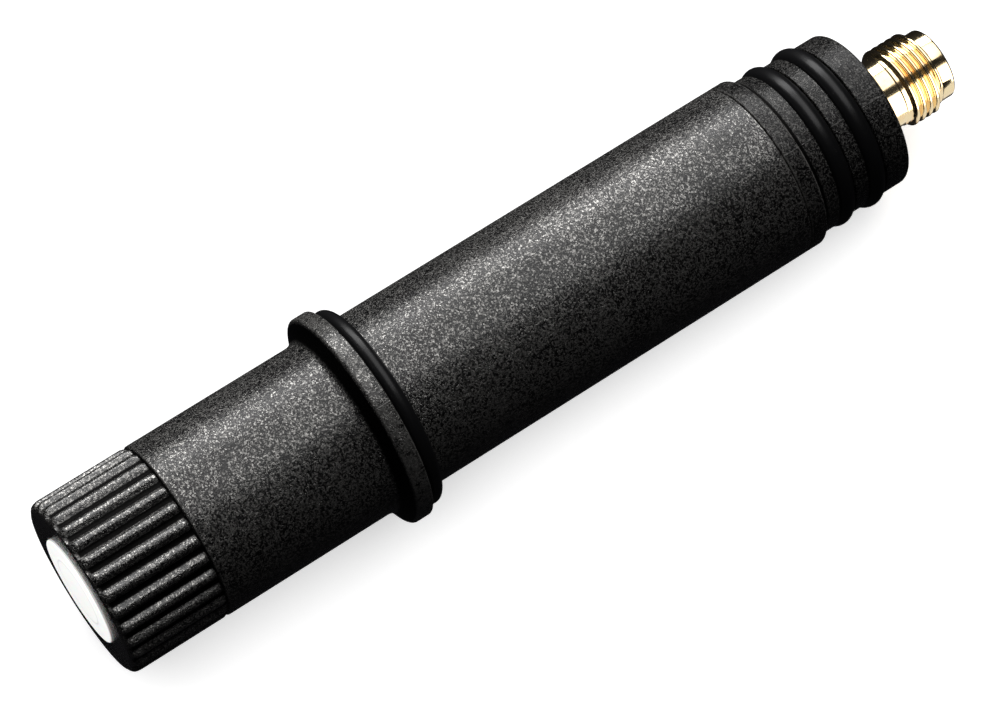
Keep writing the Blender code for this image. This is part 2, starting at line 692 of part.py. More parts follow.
TAG_X = 44.6
TAG_Z = -2.75
TAG_SIZE = (2.4, 1.8, 0.4)
block("ground_tag", (TAG_X, 0, TAG_Z), TAG_SIZE, GOLD)
wire("signal_lead", (BOARD_END_X - 3, 0, WIRE_HEIGHT), (BOARD_END_X + 1, CONTACT_START_X - 4),
     (CONTACT_START_X - CLOSE, 0, 0), WIRE_WHITE)
wire("ground_lead", (BOARD_END_X - 3, 0, -WIRE_HEIGHT), (BOARD_END_X + 1, 41.0),
     (TAG_X - TAG_SIZE[0] / 2 - CLOSE, 0, TAG_Z), WIRE_BLACK)
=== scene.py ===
"""A screw-cap dissolved oxygen probe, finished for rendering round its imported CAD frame."""
import math

import bmesh
import bpy
import numpy as np
from mathutils import Matrix, Vector


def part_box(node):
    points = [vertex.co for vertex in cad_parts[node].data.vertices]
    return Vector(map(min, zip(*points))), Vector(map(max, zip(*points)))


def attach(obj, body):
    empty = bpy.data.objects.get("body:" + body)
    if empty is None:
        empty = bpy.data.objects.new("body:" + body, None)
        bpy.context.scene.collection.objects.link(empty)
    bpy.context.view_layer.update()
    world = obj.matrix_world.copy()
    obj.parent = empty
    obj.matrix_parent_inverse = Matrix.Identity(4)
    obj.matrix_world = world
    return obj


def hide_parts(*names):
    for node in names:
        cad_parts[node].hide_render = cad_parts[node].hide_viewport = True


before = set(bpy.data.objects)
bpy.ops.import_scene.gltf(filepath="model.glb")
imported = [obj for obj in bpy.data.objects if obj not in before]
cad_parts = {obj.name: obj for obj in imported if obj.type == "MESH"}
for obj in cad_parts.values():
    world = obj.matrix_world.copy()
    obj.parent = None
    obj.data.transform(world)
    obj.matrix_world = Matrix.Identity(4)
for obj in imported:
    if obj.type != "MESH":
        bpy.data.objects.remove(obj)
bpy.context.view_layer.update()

MM = 0.001

# ---- Camera. A long lens above the nose end, upright, so that the probe's axis climbs to the right and
# leans away towards the jack.
FOCAL = 3.95                 # focal length, in widths of the sensor
STAND_OFF = 0.348            # from the camera to the middle of the probe
MIDDLE = Vector((0.0120, 0.0, 0.0))
OFF_CENTRE = (-0.020, 0.009) # where the middle falls from the frame's centre, in widths
HEADING = math.radians(-34.78)
CLIMB = math.radians(63.49)

right = Vector((math.cos(HEADING), math.sin(HEADING), 0))
back = Vector((math.cos(CLIMB) * math.sin(HEADING), -math.cos(CLIMB) * math.cos(HEADING), math.sin(CLIMB)))
up = back.cross(right)
lens = bpy.data.cameras.new("camera")
lens.sensor_width = 36.0
lens.lens = lens.sensor_width * FOCAL
lens.clip_start = 0.01
camera = bpy.data.objects.new("camera", lens)
bpy.context.scene.collection.objects.link(camera)
spot = (MIDDLE + back * STAND_OFF
        - right * (OFF_CENTRE[0] / FOCAL * STAND_OFF)
        - up * (OFF_CENTRE[1] / FOCAL * STAND_OFF))
camera.matrix_world = Matrix((
    (right.x, up.x, back.x, spot.x),
    (right.y, up.y, back.y, spot.y),
    (right.z, up.z, back.z, spot.z),
    (0, 0, 0, 1)))
bpy.context.scene.camera = camera

# ---- Barrel. One injection moulding in black glass-filled plastic: threaded neck, front barrel, flange
# with a sloped front, then the long rear barrel, whose blasted mould leaves a fine sparkling grain.
BODY_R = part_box("rear_plug")[1].z
FLANGE_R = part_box("barrel")[1].z
NECK_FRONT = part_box("barrel")[0].x
BARREL_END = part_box("barrel")[1].x
FACE_GAP = 0.1 * MM          # free space kept between two faces that touch on the real probe
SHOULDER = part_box("membrane_cap")[1].x + FACE_GAP
NECK_R = 5.65 * MM
BORE_R = 6.6 * MM
CAP_PITCH = 1.5 * MM
NECK_THREAD_START = -25.9 * MM
NECK_THREAD_TURNS = 2.3
NECK_THREAD_HEIGHT = 0.5 * MM

# The profiles take millimetres.
neck_x = NECK_FRONT / MM
shoulder_x = SHOULDER / MM
body_r = BODY_R / MM
flange_r = FLANGE_R / MM
end_x = BARREL_END / MM
gap = FACE_GAP / MM
RIM_X = -1.5                 # front edge of the flange's rim, where its slope ends
CONE_X = RIM_X - 0.9
GLAND_DEPTH = 0.1            # the O-ring's gland in the flange's rear face
GLAND_OUTER_R = 9.9
SEAT_R = 8.1                 # the barrel under that O-ring
RING_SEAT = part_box("flange_o_ring")[1].x / MM + gap
NECK_BORE_R = 4.5
NECK_LIP_R = 5.35
BORE_FRONT = -17.85
PARTING_TURN = -0.41         # where the mould's parting line runs, in radians about the axis


class Signal:
    """A shader value. Arithmetic on it adds Math nodes to its finish."""

    def __init__(self, finish, socket):
        self.finish = finish
        self.socket = socket

    def math(self, operation, *others):
        return self.finish.node("ShaderNodeMath", {"operation": operation}, dict(enumerate((self, *others))))

    def __add__(self, other):
        return self.math("ADD", other)

    def __sub__(self, other):
        return self.math("SUBTRACT", other)

    def __mul__(self, other):
        return self.math("MULTIPLY", other)

    def __truediv__(self, other):
        return self.math("DIVIDE", other)

    def __pow__(self, other):
        return self.math("POWER", other)

    def __rsub__(self, other):
        return self * -1.0 + other

    __radd__ = __add__
    __rmul__ = __mul__

    def above(self, low, high):
        """0 below low, 1 above high, smooth between them; the other way round if low is the larger."""
        settings = {"interpolation_type": "SMOOTHSTEP"}
        if low > high:
            return 1.0 - self.above(high, low)
        return self.finish.node("ShaderNodeMapRange", settings, {0: self, 1: low, 2: high})

    def near(self, middle, width):
        """1 where the value is at middle, falling to 0 at width from it."""
        return (self - middle).math("ABSOLUTE").above(width, 0.0)


class Finish:
    """A procedural material: one Principled shader and the nodes that feed it."""

    MIX_FIRST, MIX_SECOND, MIX_RESULT = 6, 7, 2    # a Mix node's sockets for colours

    def __init__(self, name, **constants):
        self.material = bpy.data.materials.new(name)
        self.material.use_nodes = True
        self.tree = self.material.node_tree
        self.shader = self.tree.nodes["Principled BSDF"]
        for key, value in constants.items():
            self.shader.inputs[key.replace("_", " ")].default_value = value

    def node(self, kind, settings=None, inputs=None, out=0):
        """Add a node: its settings first, then the values or links of its sockets."""
        made = self.tree.nodes.new(kind)
        for key, value in (settings or {}).items():
            setattr(made, key, value)
        for key, value in (inputs or {}).items():
            if isinstance(value, Signal):
                self.tree.links.new(value.socket, made.inputs[key])
            else:
                made.inputs[key].default_value = value
        return Signal(self, made.outputs[out])

    def place(self, scale=(1, 1, 1), turn=(0, 0, 0), shift=(0, 0, 0)):
        """Object coordinates in metres, scaled and turned."""
        point = self.node("ShaderNodeTexCoord", out="Object")
        return self.node("ShaderNodeMapping", None,
                         {"Vector": point, "Scale": scale, "Rotation": turn, "Location": shift})

    def cylinder(self):
        """(station, radius, turn): X, distance from the X axis, and the angle about it from -pi to pi."""
        point = self.node("ShaderNodeTexCoord", out="Object")
        station, y, z = (self.node("ShaderNodeSeparateXYZ", None, {0: point}, out=i) for i in range(3))
        radius = (y * y + z * z) ** 0.5
        return station, radius, y.math("ARCTAN2", z)

    def noise(self, scale, detail=3.0, rough=0.5, where=None):
        """Noise about a half, with its grain 1 / scale metres across."""
        inputs = {"Vector": where or self.place(), "Scale": scale, "Detail": detail, "Roughness": rough}
        return self.node("ShaderNodeTexNoise", None, inputs)

    def cells(self, scale, where=None):
        """Distance to the nearest of random points 1 / scale metres apart."""
        return self.node("ShaderNodeTexVoronoi", None, {"Vector": where or self.place(), "Scale": scale})

    def shades(self, scale, where=None):
        """One random number from 0 to 1 for each cell about random points 1 / scale metres apart."""
        inputs = {"Vector": where or self.place(), "Scale": scale}
        colour = self.node("ShaderNodeTexVoronoi", None, inputs, "Color")
        return self.node("ShaderNodeSeparateColor", None, {0: colour}, "Green")

    def blend(self, share, first, second):
        """Colour that goes from first to second as share goes from 0 to 1."""
        first, second = (c if isinstance(c, Signal) else (*c, 1.0) for c in (first, second))
        inputs = {"Factor": share, self.MIX_FIRST: first, self.MIX_SECOND: second}
        return self.node("ShaderNodeMix", {"data_type": "RGBA"}, inputs, self.MIX_RESULT)

    def bump(self, height, depth):
        """Normal of a relief whose full height is depth metres."""
        return self.node("ShaderNodeBump", None, {"Height": height, "Distance": depth})

    def feed(self, **links):
        """Link signals to the shader's sockets."""
        for key, value in links.items():
            self.tree.links.new(value.socket, self.shader.inputs[key.replace("_", " ")])
        return self


ARC_STEP = math.radians(15)       # the largest turn between two points of a rounded corner
SHARP_EDGE = math.radians(38)     # two faces that meet at more than this keep a crisp edge
WELD = 1e-7                       # points nearer than this, in metres, are one
ON_SURFACE = 1e-6                 # a radius this near a surface's own, in metres, is on it


def outline(corners):
    """Points of a profile in the X-radius plane.

    Each corner is (x, radius, rounding, step) in millimetres. A corner is replaced by an arc of
    its rounding, and the run after it is cut into pieces of at most its step. The profile closes
    on itself unless it starts and ends on the axis.
    """
    corners = [(*corner, 0, 0)[:4] for corner in corners]
    places = np.array([corner[:2] for corner in corners], float)
    ring = places[0, 1] > 0 or places[-1, 1] > 0
    last = len(corners) - 1
    points = []
    for i, (*_, rounding, step) in enumerate(corners):
        here = places[i]
        target = places[(i + 1) % len(corners)]
        arc = [here]
        if rounding and (ring or 0 < i < last):
            into = here - places[i - 1]
            away = target - here
            into /= np.linalg.norm(into)
            away /= np.linalg.norm(away)
            bend = math.acos(np.clip(into @ away, -1, 1))
            reach = rounding * math.tan(bend / 2)
            centre_way = (away - into) / np.linalg.norm(away - into)
            centre = here + centre_way * rounding / math.cos(bend / 2)
            count = max(2, math.ceil(bend / ARC_STEP))
            start = here - into * reach - centre
            side = math.copysign(1.0, into[0] * away[1] - into[1] * away[0])
            angles = side * bend * np.arange(count + 1) / count
            arc = [centre + (start[0] * math.cos(a) - start[1] * math.sin(a),
                             start[0] * math.sin(a) + start[1] * math.cos(a)) for a in angles]
        points.extend(arc)
        if step and (ring or i < last):
            count = math.ceil(np.linalg.norm(target - arc[-1]) / step)
            points.extend(arc[-1] + (target - arc[-1]) * k / count for k in range(1, count))
    return np.array(points) * MM, ring


def skin(name, points, finish, ring=True):
    """Mesh over a grid of points, closed round its columns, and along its rows too for a ring."""
    rows, columns = points.shape[:2]
    index = np.arange(rows * columns).reshape(rows, columns)
    here = index if ring else index[:-1]
    ahead = np.roll(index, -1, 0) if ring else index[1:]
    quads = np.stack([here, np.roll(here, -1, 1), np.roll(ahead, -1, 1), ahead], -1)
    mesh = bpy.data.meshes.new(name)
    mesh.from_pydata(points.reshape(-1, 3).tolist(), [], quads.reshape(-1, 4).tolist())
    weld = bmesh.new()
    weld.from_mesh(mesh)
    bmesh.ops.remove_doubles(weld, verts=weld.verts, dist=WELD)
    weld.to_mesh(mesh)
    weld.free()
    mesh.shade_smooth()
    mesh.set_sharp_from_angle(angle=SHARP_EDGE)
    mesh.materials.append(finish.material)
    piece = bpy.data.objects.new(name, mesh)
    bpy.context.scene.collection.objects.link(piece)
    return piece


def turned(name, corners, finish, columns=144, relief=None):
    """Turn a profile about X: y = r sin a, z = -r cos a, with a from 0 to a full turn.

    The corners run from the nose to the rear along the outside and back along the inside.
    relief(x, r, a) gives the radius of every point from its place on the plain turned shape.
    """
    profile, ring = outline(corners)
    x, angle = np.meshgrid(profile[:, 0], math.tau * np.arange(columns) / columns, indexing="ij")
    radius = np.repeat(profile[:, 1:], columns, 1)
    if relief:
        radius = relief(x, radius, angle)
    points = np.stack([x, radius * np.sin(angle), -radius * np.cos(angle)], -1)
    return skin(name, points, finish, ring)


def ridge(x, angle, start, pitch, turns, root, crest, fade=0.3):
    """Height, from 0 to 1, of a right-hand thread's ridge.

    The ridge's middle is at start + pitch * (turns made). It is root wide at its foot and crest
    wide on top, and runs in and out over fade of a turn at its ends.
    """
    lead = angle / math.tau
    nearest = np.round((x - start) / pitch - lead)
    made = nearest + lead
    off = np.abs(x - start - pitch * made)
    height = np.clip((root / 2 - off) / (root / 2 - crest / 2), 0, 1)
    ends = np.clip(made / fade, 0, 1) * np.clip((turns - made) / fade, 0, 1)
    return height * ends * ends * (3 - 2 * ends)


def black_plastic(name, grain, depth, sheen, glint=1.0, worn=(), painted_shade=None, parting=99.0):
    """Moulded black plastic: blasted grain of bright and dull facets, cloudy gloss, scratches, wear.

    Grain is the number of specks in a metre, and depth the height of their relief. Glint scales
    the share of bright facets. Each worn edge is (station, radius, width, strength), where
    handling has polished the grain. The painted shade zone is (front, back, low, high): between
    those stations, below the radii from high to low, the tint and the facets go near-black and
    dull, painted in as shade in grooves, corners and faces that reflect only dark. The
    mould's parting line shows at radii above parting.
    """
    deep_black = (0.0010, 0.0010, 0.0012)
    soft_black = (0.0030, 0.0029, 0.0028)
    facet_grey = (0.33, 0.322, 0.308)
    made = Finish(name, Specular_IOR_Level=sheen)
    station, radius, turn = made.cylinder()
    cloud = made.noise(150, 4, 0.6)
    fine = made.noise(grain, 3, 0.72)
    pits = made.noise(grain * 0.42, 2, 0.6)
    coarse_facets = made.shades(grain * 1.4, made.place(shift=(0.3, 0.1, 0.2)))
    facets = made.shades(grain * 2.4) * 0.55 + coarse_facets * 0.45
    height = fine * 0.8 + pits * 0.5 + facets * 0.5
    share = (facets + (cloud - 0.5) * 0.3).above(0.42, 0.98) * glint
    strokes = made.noise(1, 2, 0.5, made.place((90, 900, 900), (0.0, 0.35, 0.5)))
    rubbed = strokes.near(0.5, 0.005) * made.noise(120, 1).above(0.56, 0.68) * 0.25
    for x, r, width, strength in worn:
        edge = station.near(x, width) * radius.near(r, width)
        rubbed = rubbed + edge * made.noise(1300, 3).above(0.36, 0.60) * strength
    line = turn.near(PARTING_TURN, 0.010) * radius.above(parting, parting + 0.1 * MM)
    rubbed = rubbed + line * made.noise(500, 2).above(0.35, 0.6) * 0.4
    share = share + rubbed * 0.5
    rough = 0.16 + cloud * 0.08 + fine.above(0.45, 0.70) * 0.14 - share * 0.05
    tint = made.blend(fine.above(0.35, 0.65), deep_black, soft_black)
    tint = made.blend(share, tint, facet_grey)
    # Painted shade: in this zone the tint and the facets go near-black and the gloss dulls, standing in for
    # shade.
    if painted_shade:
        front, back, low, high = painted_shade
        shade_mask = radius.above(high, low) * station.above(front, front + 0.4 * MM)
        shade_mask = shade_mask * station.above(back, back - 0.2 * MM)
        tint = made.blend(shade_mask, tint, soft_black)
        share = share + (1.0 - share) * shade_mask
        rough = rough + shade_mask * 0.3
    normal = made.bump(height * (1.0 - rubbed * 0.7) + line * 0.6, depth)
    return made.feed(Base_Color=tint, Roughness=rough, Metallic=share * 0.98, Normal=normal)


def neck_relief(x, r, a):
    """The neck's radius with its thread's ridge on it."""
    neck = (np.abs(r - NECK_R) < ON_SURFACE) & (x < SHOULDER - 1 * MM)
    thread = ridge(x, a, NECK_THREAD_START, CAP_PITCH, NECK_THREAD_TURNS, 1.0 * MM, 0.35 * MM)
    return r + neck * NECK_THREAD_HEIGHT * thread


barrel_plastic = black_plastic(
    "blasted_black_plastic", 4300, 0.000045, 0.42, 0.92,
    worn=(
        (RIM_X * MM, FLANGE_R, 0.25 * MM, 0.7),
        (0.0, FLANGE_R, 0.2 * MM, 0.7),
        (SHOULDER, BODY_R, 0.2 * MM, 0.7),
        (BARREL_END, BODY_R, 0.2 * MM, 0.7),
        (RIM_X * MM / 2, FLANGE_R, 1.1 * MM, 0.35),
    ),
    # Painted shade: the flange's sloped front is made near-black and dull, standing in for the dark it
    # reflects.
    painted_shade=((CONE_X - 0.3) * MM, RIM_X * MM, FLANGE_R - 0.4 * MM, FLANGE_R - 0.1 * MM),
    parting=BODY_R + 0.5 * MM)
barrel = turned("barrel_moulding", [
    (neck_x, NECK_LIP_R, 0.05),
    (neck_x + 0.3, NECK_R / MM, 0, 0.09),
    (shoulder_x - 0.3, NECK_R / MM),
    (shoulder_x, NECK_R / MM, 0.15),
    (shoulder_x, body_r, 0.12),
    (CONE_X, body_r, 1.3),
    (RIM_X, flange_r, 0.3),
    (0.0, flange_r, 0.15),
    (0.0, GLAND_OUTER_R, 0.03),
    (-GLAND_DEPTH, GLAND_OUTER_R, 0.03),
    (-GLAND_DEPTH, SEAT_R, 0.1),
    (RING_SEAT, SEAT_R, 0.1),
    (RING_SEAT, body_r, 0.05),
    (end_x, body_r, 0.12),
    (end_x, BORE_R / MM, 0.1),
    (BORE_FRONT, BORE_R / MM, 0.3),
    (BORE_FRONT, NECK_BORE_R, 0.1),
    (neck_x, NECK_BORE_R, 0.05),
], barrel_plastic, columns=192, relief=neck_relief)
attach(barrel, "housing")
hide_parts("barrel")

# ---- Flange O-ring. Moulded nitrile rubber, stretched over the barrel against the flange's rear face,
# wiped with silicone grease, so it is the glossiest black on the probe.
CORD_POINTS = 28             # round the section of an O-ring


def rubber(name):
    """Greased nitrile rubber: dark, glossy, with smeared grease and fine dust caught in it."""
    made = Finish(name, Specular_IOR_Level=0.28, Coat_Roughness=0.12)
    smear = made.noise(420, 4, 0.6, made.place((1.0, 0.35, 0.35)))
    dust = made.noise(5200, 2, 0.5).above(0.68, 0.80) * smear
    film = smear.above(0.40, 0.62)
    tint = made.blend(dust * 0.5, (0.006, 0.006, 0.0065), (0.09, 0.088, 0.084))
    ripple = made.noise(1500, 3, 0.5) + made.noise(6000, 2, 0.5) * 0.4
    return made.feed(Base_Color=tint, Roughness=0.26 + smear * 0.16 + dust * 0.3,
                     Coat_Weight=film * 0.12, Normal=made.bump(ripple, 0.000012))


def o_ring(node, finish, body, columns=144):
    """An O-ring the size of its CAD node's box: a circle turned about the X axis."""
    low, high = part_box(node)
    cord_r = (high.x - low.x) / 2
    around = math.tau * np.arange(CORD_POINTS) / CORD_POINTS
    radial = high.z - cord_r + cord_r * np.cos(around)
    station = (low.x + high.x) / 2 - cord_r * np.sin(around)
    angle = math.tau * np.arange(columns) / columns
    points = np.stack([np.repeat(station[:, None], columns, 1),
                       radial[:, None] * np.sin(angle), -radial[:, None] * np.cos(angle)], -1)
    ring = skin(node + "_rubber", points[::-1], finish)
    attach(ring, body)
    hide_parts(node)


seal_rubber = rubber("greased_nitrile_rubber")
o_ring("flange_o_ring", seal_rubber, "housing")

# ---- Electrode stem. Cast epoxy, seated from inside the barrel, with a gold cathode in its tip, a silver
# anode round it and an O-ring that seals it in the neck.


def refinish(node, finish):
    """Give a carried-over CAD node its procedural material."""
    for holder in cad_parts[node].material_slots:
        holder.material = finish.material


def metal(name, light, dark, rough, grain=(1, 1, 1), depth=0.000004, wear=0.10):
    """Bare or plated metal: drawn or turned grain, tarnish in soft clouds, wear in its gloss."""
    made = Finish(name, Metallic=1.0)
    tarnish = made.noise(500, 5, 0.6)
    lines = made.noise(9000, 2, 0.6, made.place(grain))
    tint = made.blend(tarnish.above(0.42, 0.72), light, dark)
    return made.feed(Base_Color=tint, Roughness=rough + tarnish * wear + lines * 0.05,
                     Normal=made.bump(lines + tarnish * 0.5, depth))


def cast_resin(name, light, dark, rough):
    """Poured resin: slight flow marks, fine trapped bubbles and a soft skin."""
    made = Finish(name, Specular_IOR_Level=0.5)
    flow = made.noise(260, 5, 0.6)
    bubbles = made.cells(1900).above(0.22, 0.12)
    tint = made.blend(flow, light, dark)
    return made.feed(Base_Color=tint, Roughness=rough + flow * 0.12 + bubbles * 0.15,
                     Normal=made.bump(flow * 0.6 - bubbles * 0.8, 0.00003))


gold_plate = metal("bright_gold_plate", (1.0, 0.82, 0.50), (0.98, 0.68, 0.36), 0.07, (0.1, 1, 1), 0.0000015)
STEM_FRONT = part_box("electrode_stem")[0].x / MM
STEM_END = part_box("electrode_stem")[1].x / MM
TIP_R = 3.2                  # the tip that the film is drawn over
TIP_END = -26.9
CATHODE_R = 1.9              # the recess that holds the cathode's disc
CATHODE_DEPTH = 0.55
STEM_R = 4.4
SEAL_FRONT = -24.6           # the groove of the stem's O-ring
SEAL_BACK = -23.2
SEAL_FLOOR_R = 3.45
FOOT_FRONT = -17.75          # the foot that seats in the barrel's bore
FOOT_BACK = -16.15
FOOT_R = 6.5
TAIL_R = 5.0
WIRE_HOLE_R = 0.6
stem = turned("electrode_stem_casting", [
    (STEM_FRONT + CATHODE_DEPTH, CATHODE_R, 0.03),
    (STEM_FRONT, CATHODE_R, 0.05),
    (STEM_FRONT, TIP_R, 0.3),
    (TIP_END, TIP_R, 0.1),
    (TIP_END, STEM_R, 0.25),
    (SEAL_FRONT, STEM_R, 0.05),
    (SEAL_FRONT, SEAL_FLOOR_R, 0.05),
    (SEAL_BACK, SEAL_FLOOR_R, 0.05),
    (SEAL_BACK, STEM_R, 0.05),
    (FOOT_FRONT, STEM_R, 0.1),
    (FOOT_FRONT, FOOT_R, 0.15),
    (FOOT_BACK, FOOT_R, 0.15),
    (FOOT_BACK, TAIL_R, 0.3),
    (STEM_END, TAIL_R, 0.15),
    (STEM_END, WIRE_HOLE_R, 0.05),
    (STEM_FRONT + CATHODE_DEPTH, WIRE_HOLE_R, 0.05),
], cast_resin("stem_epoxy", (0.42, 0.36, 0.26), (0.30, 0.24, 0.16), 0.22), columns=96)
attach(stem, "housing")
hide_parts("electrode_stem")
refinish("cathode_disc", gold_plate)
refinish("silver_anode", metal("chlorided_silver", (0.80, 0.79, 0.76), (0.34, 0.32, 0.31), 0.32,
                               (0.1, 1, 1), 0.000006, 0.3))
o_ring("stem_o_ring", seal_rubber, "housing", 96)

# ---- Leads, sensor bead and potting. Stranded hook-up wire in coloured sleeves runs from the stem to the
# board through cast resin; the temperature sensor is a glass bead on two fine leads.


def sleeve(name, tint, shade):
    """Extruded wire insulation: shallow strand ripple under the sleeve and a few grey scuffs."""
    made = Finish(name, Specular_IOR_Level=0.45)
    strands = made.noise(2600, 2, 0.5, made.place((0.2, 1, 1)))
    scuffs = made.noise(700, 4, 0.6).above(0.60, 0.72)
    colour = made.blend(strands, tint, shade)
    return made.feed(Base_Color=made.blend(scuffs * 0.35, colour, (0.35, 0.34, 0.32)),
                     Roughness=0.34 + scuffs * 0.25, Normal=made.bump(strands, 0.00002))


refinish("cathode_lead", sleeve("red_sleeve", (0.50, 0.030, 0.020), (0.33, 0.018, 0.014)))
refinish("anode_lead", sleeve("black_sleeve", (0.030, 0.030, 0.032), (0.016, 0.016, 0.017)))
for side in ("left", "right"):
    refinish("sensor_lead_" + side, sleeve("yellow_sleeve_" + side, (0.72, 0.50, 0.04), (0.50, 0.33, 0.03)))
refinish("potting_plug", cast_resin("potting_resin", (0.050, 0.043, 0.038), (0.085, 0.070, 0.058), 0.18))
refinish("temperature_bead", cast_resin("fused_glass", (0.30, 0.15, 0.06), (0.16, 0.07, 0.03), 0.08))

# ---- Circuit board. Green solder mask over etched copper on glass-epoxy, with two moulded chips, a
# tantalum capacitor and two resistors soldered on its upper side.


def solder_mask(name):
    """Green mask: darker laminate, paler tracks under the mask, bare gold pads dotted about it."""
    made = Finish(name, Specular_IOR_Level=0.5)
    tracks = made.node("ShaderNodeTexBrick", {"offset": 0.5, "squash": 1.0},
                       {"Vector": made.place((1, 1, 0)), "Scale": 260.0, "Mortar Size": 0.09,
                        "Brick Width": 0.9, "Row Height": 0.35}, out="Fac")
    weave = made.noise(2600, 2, 0.5, made.place((1, 1, 0.1)))
    vias = made.cells(420, made.place((1, 1, 0))).above(0.20, 0.15)
    mask = made.blend(tracks, (0.012, 0.085, 0.035), (0.030, 0.170, 0.070))
    mask = made.blend(weave * 0.3, mask, (0.010, 0.060, 0.026))
    return made.feed(Base_Color=made.blend(vias, mask, (0.80, 0.58, 0.22)), Metallic=vias * 0.9,
                     Roughness=0.30 + weave * 0.14 - vias * 0.1,
                     Normal=made.bump(tracks * 0.6 + weave * 0.2 - vias * 0.5, 0.00003))


def moulded(name, tint, shade, rough, grain=3200):
    """Moulding compound or natural plastic: fine matt grain and soft mottling."""
    made = Finish(name, Specular_IOR_Level=0.4)
    mottle = made.noise(500, 4, 0.6)
    fine = made.noise(grain, 3, 0.6)
    return made.feed(Base_Color=made.blend(mottle, tint, shade), Roughness=rough + fine * 0.15,
                     Normal=made.bump(fine + mottle * 0.4, 0.00001))


refinish("circuit_board", solder_mask("green_solder_mask"))
for node, tint, shade in (
    ("amplifier_chip", (0.028, 0.028, 0.030), (0.018, 0.018, 0.019)),
    ("memory_chip", (0.030, 0.029, 0.029), (0.020, 0.019, 0.019)),
    ("filter_capacitor", (0.66, 0.43, 0.13), (0.52, 0.32, 0.09)),
    ("bias_resistor", (0.035, 0.035, 0.040), (0.020, 0.020, 0.024)),
    ("load_resistor", (0.035, 0.035, 0.040), (0.020, 0.020, 0.024)),
):
    refinish(node, moulded(node + "_compound", tint, shade, 0.48))

# ---- Rear plug. A second black moulding glued into the barrel's end: its collar is flush with the barrel
# behind a fine seam, then it steps down to two O-ring glands and a flat rear wall.
PLUG_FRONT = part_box("rear_plug")[0].x / MM
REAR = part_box("rear_plug")[1].x / MM
SPIGOT_R = 6.5               # the part glued into the barrel, and the hollow in it
PLUG_BORE_R = 5.0
COLLAR_END = 43.95
FIRST_LAND_R = 7.9
LAND_R = 7.7
WALL_FRONT = 50.0            # inner face of the wall that holds the jack
JACK_R = 3.46
REAR_RINGS = ("rear_o_ring_front", "rear_o_ring_back")
GLANDS = [(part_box(node)[0].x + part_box(node)[1].x) / 2 / MM for node in REAR_RINGS]
GLAND_WIDTH = 1.96
GLAND_FLOOR_R = 6.3
plug_corners = [
    (PLUG_FRONT, SPIGOT_R, 0.3),
    (end_x + gap, SPIGOT_R),
    (end_x + gap, body_r, 0.12),
    (COLLAR_END, body_r, 0.32),
    (COLLAR_END, FIRST_LAND_R, 0.1),
]
for middle, land in zip(GLANDS, (FIRST_LAND_R, LAND_R)):
    plug_corners += [
        (middle - GLAND_WIDTH / 2, land, 0.1),
        (middle - GLAND_WIDTH / 2, GLAND_FLOOR_R, 0.1),
        (middle + GLAND_WIDTH / 2, GLAND_FLOOR_R, 0.1),
        (middle + GLAND_WIDTH / 2, LAND_R, 0.1),
    ]
plug_corners += [
    (REAR, LAND_R, 0.45),
    (REAR, JACK_R + gap, 0.05),
    (WALL_FRONT, JACK_R + gap),
    (WALL_FRONT, PLUG_BORE_R, 0.2),
    (PLUG_FRONT, PLUG_BORE_R, 0.1),
]
plug_plastic = black_plastic(
    "plug_black_plastic", 4600, 0.000045, 0.22, 0.32,
    worn=(
        (BARREL_END + FACE_GAP, BODY_R, 0.2 * MM, 0.7),
        (COLLAR_END * MM, BODY_R, 0.3 * MM, 1.0),
        (REAR * MM, (LAND_R - 0.1) * MM, 0.3 * MM, 0.5),
    ),
    # Painted shade: the collar's rounded rear edge, its step and the land just behind are made near-black,
    # as shade in that corner.
    painted_shade=((COLLAR_END - 0.4) * MM, (COLLAR_END + 0.55) * MM, BODY_R - 0.5 * MM, BODY_R - 0.3 * MM),
    parting=(LAND_R - 0.2) * MM)
plug = turned("rear_plug_moulding", plug_corners, plug_plastic, columns=192)
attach(plug, "housing")
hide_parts("rear_plug")
for node in REAR_RINGS:
    o_ring(node, seal_rubber, "housing")

# ---- Threaded jack. Turned brass under bright gold plate: an inside flange, a plain shank through the
# plug's wall, a rolled outside thread and a plain tip round the open socket.
JACK_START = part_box("jack_shell")[0].x / MM
JACK_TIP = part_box("jack_shell")[1].x / MM
JACK_PITCH = 0.75 * MM
JACK_THREAD = 57.1 * MM
JACK_TURNS = 4.75
JACK_ROOT_R = 3.56 * MM
JACK_RIDGE = 0.44 * MM       # height of the thread's ridge over its root
THREAD_RUN_IN = 0.15 * MM
JACK_FLANGE_R = 4.8
JACK_FLANGE_BACK = WALL_FRONT - gap
JACK_BORE_R = 2.2
SOCKET_R = 2.7
SOCKET_BOTTOM = 57.5


def jack_relief(x, r, a):
    """Plain shell, plus the thread's root step and its rounded ridge."""
    outside = np.abs(r - JACK_R * MM) < ON_SURFACE
    first = JACK_THREAD - 0.4 * MM
    last = JACK_THREAD + JACK_TURNS * JACK_PITCH + THREAD_RUN_IN
    step = np.clip((x - first) / THREAD_RUN_IN, 0, 1) * np.clip((last - x) / THREAD_RUN_IN, 0, 1)
    crest = ridge(x, a, JACK_THREAD, JACK_PITCH, JACK_TURNS, 0.70 * MM, 0.10 * MM, fade=0.2)
    rounded_crest = np.sin(crest * math.pi / 2)
    return r + outside * (step * (JACK_ROOT_R - JACK_R * MM) + rounded_crest * JACK_RIDGE)


